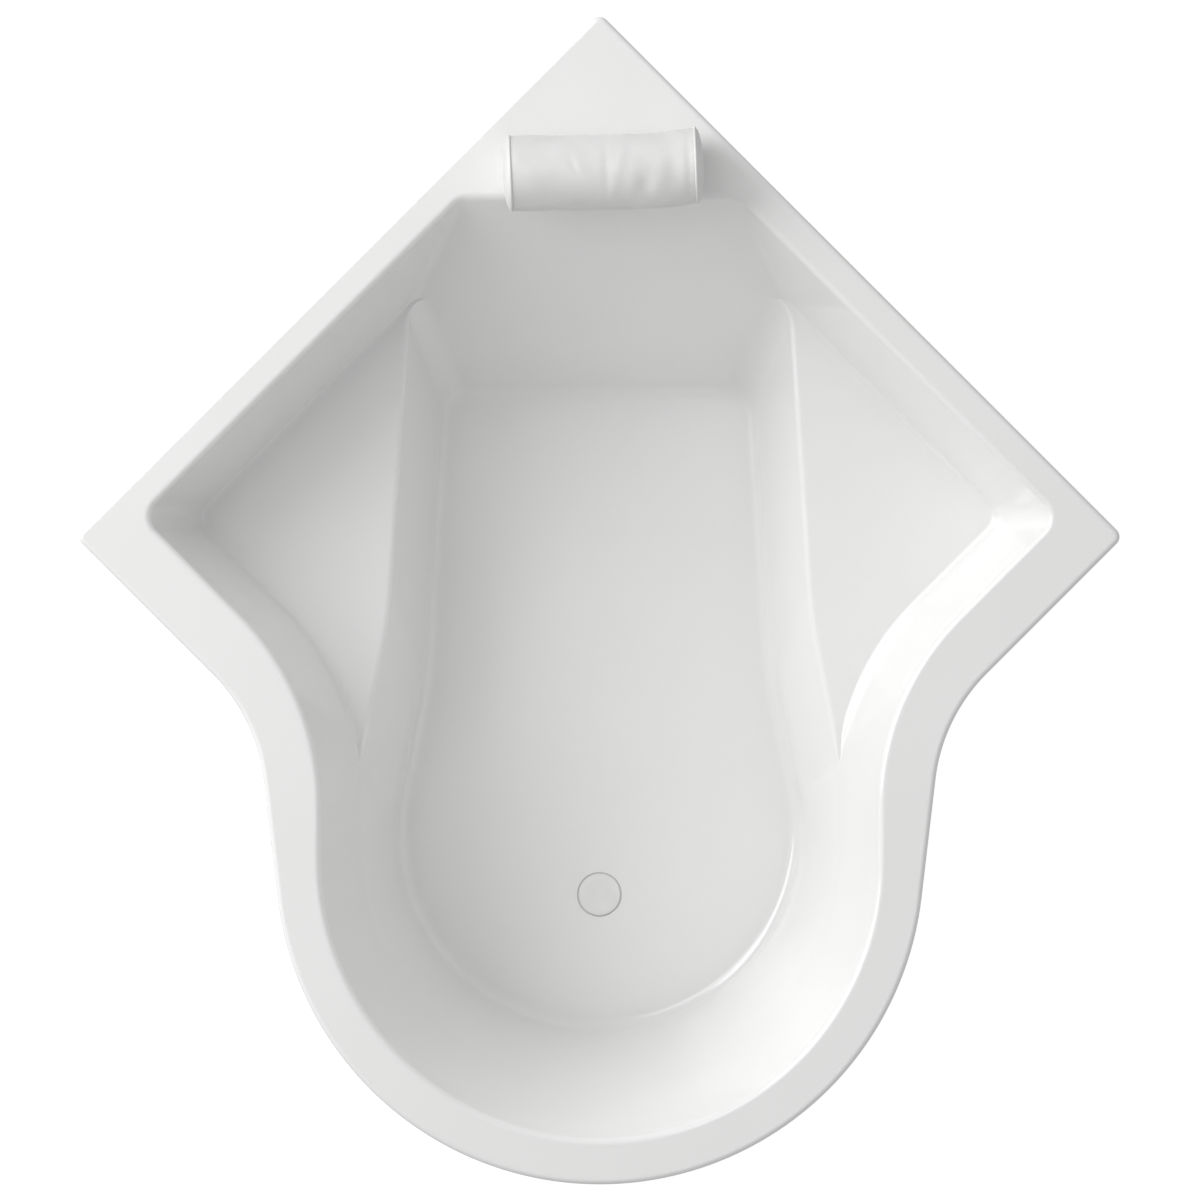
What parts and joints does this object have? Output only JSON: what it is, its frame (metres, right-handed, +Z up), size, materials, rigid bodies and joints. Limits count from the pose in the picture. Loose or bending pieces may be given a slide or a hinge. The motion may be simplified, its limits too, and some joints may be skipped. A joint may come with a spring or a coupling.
{
  "type": "corner bathtub",
  "caption": "Acrylic bath for a room corner with two side shelves, a deep well that ends in a round foot end, a loose bolster, steel frame and removable apron.",
  "frame": {"origin": "on the floor of the room, under the middle of the bath's outer box", "axes": "+Y along the bath's axis to the corner of the room, +X to the right wing, +Z up"},
  "size_m": [1.6838, 1.8903, 0.7214],
  "materials": {
    "acrylic": "white, high gloss",
    "cover_plastic": "white, gloss",
    "white_plastic": "white, satin",
    "bright_steel": "polished",
    "rubber": "black, matt",
    "board": "particle board, sealed",
    "vinyl": "white satin vinyl, soft folds",
    "piping": "white vinyl piping",
    "foam": "soft foam",
    "apron_acrylic": "white, high gloss",
    "magnet": "dark grey, satin",
    "zinc_steel": "zinc plated",
    "wood": "planed softwood",
    "frame_paint": "grey powder coat"
  },
  "bodies": {
    "root": {"base_board": "board", "board_screws": "zinc_steel", "bracket_screws": "zinc_steel", "catch_plates": "zinc_steel", "corner_post": "frame_paint", "corner_post_pad": "rubber", "cross_rail_back": "frame_paint", "cross_rail_front": "frame_paint", "cross_rail_wings": "frame_paint", "end_batten": "wood", "flange_gasket": "rubber", "foot_lock_nuts": "zinc_steel", "frame_rail_left": "frame_paint", "frame_rail_right": "frame_paint", "front_batten_left": "wood", "front_batten_right": "wood", "rim_batten_left": "wood", "rim_batten_right": "wood", "spine_rail": "frame_paint", "trap_body": "white_plastic", "trap_cap": "white_plastic", "trap_union_nut": "white_plastic", "tub_shell": "acrylic", "wall_bracket_left_back": "zinc_steel", "wall_bracket_left_front": "zinc_steel", "wall_bracket_right_back": "zinc_steel", "wall_bracket_right_front": "zinc_steel", "waste_flange": "white_plastic", "waste_lock_nut": "white_plastic", "waste_seal": "rubber", "wing_post_left": "frame_paint", "wing_post_left_pad": "rubber", "wing_post_right": "frame_paint", "wing_post_right_pad": "rubber"},
    "waste_cover": {"drain_cover": "cover_plastic", "cover_seal": "rubber", "cover_stem": "bright_steel"},
    "neck_pillow": {"pillow_core": "foam", "pillow_cover": "vinyl", "pillow_end_left": "vinyl", "pillow_end_right": "vinyl", "pillow_piping_left": "piping", "pillow_piping_right": "piping"},
    "apron": {"apron_panel": "apron_acrylic", "apron_magnets": "magnet"},
    "foot_corner": {"foot_stud_corner": "zinc_steel", "foot_pad_corner": "rubber"},
    "foot_wing_left": {"foot_stud_wing_left": "zinc_steel", "foot_pad_wing_left": "rubber"},
    "foot_wing_right": {"foot_stud_wing_right": "zinc_steel", "foot_pad_wing_right": "rubber"},
    "foot_front_left": {"foot_stud_front_left": "zinc_steel", "foot_pad_front_left": "rubber"},
    "foot_front_right": {"foot_stud_front_right": "zinc_steel", "foot_pad_front_right": "rubber"}
  },
  "joints": [
    {"name": "waste_cover_lift", "type": "slide", "parent": "root", "child": "waste_cover", "axis": [0, 0, 1], "range_m": [0, 0.01]},
    {"name": "pillow_lift", "type": "slide", "parent": "root", "child": "neck_pillow", "axis": [0, 0, 1], "range_m": [0, 0.3]},
    {"name": "apron_take_off", "type": "slide", "parent": "root", "child": "apron", "axis": [0, -1, 0], "range_m": [0, 0.3]},
    {"name": "foot_corner_height", "type": "slide", "parent": "root", "child": "foot_corner", "axis": [0, 0, -1], "range_m": [0, 0.02]},
    {"name": "foot_wing_left_height", "type": "slide", "parent": "root", "child": "foot_wing_left", "axis": [0, 0, -1], "range_m": [0, 0.02]},
    {"name": "foot_wing_right_height", "type": "slide", "parent": "root", "child": "foot_wing_right", "axis": [0, 0, -1], "range_m": [0, 0.02]},
    {"name": "foot_front_left_height", "type": "slide", "parent": "root", "child": "foot_front_left", "axis": [0, 0, -1], "range_m": [0, 0.02]},
    {"name": "foot_front_right_height", "type": "slide", "parent": "root", "child": "foot_front_right", "axis": [0, 0, -1], "range_m": [0, 0.02]}
  ]
}
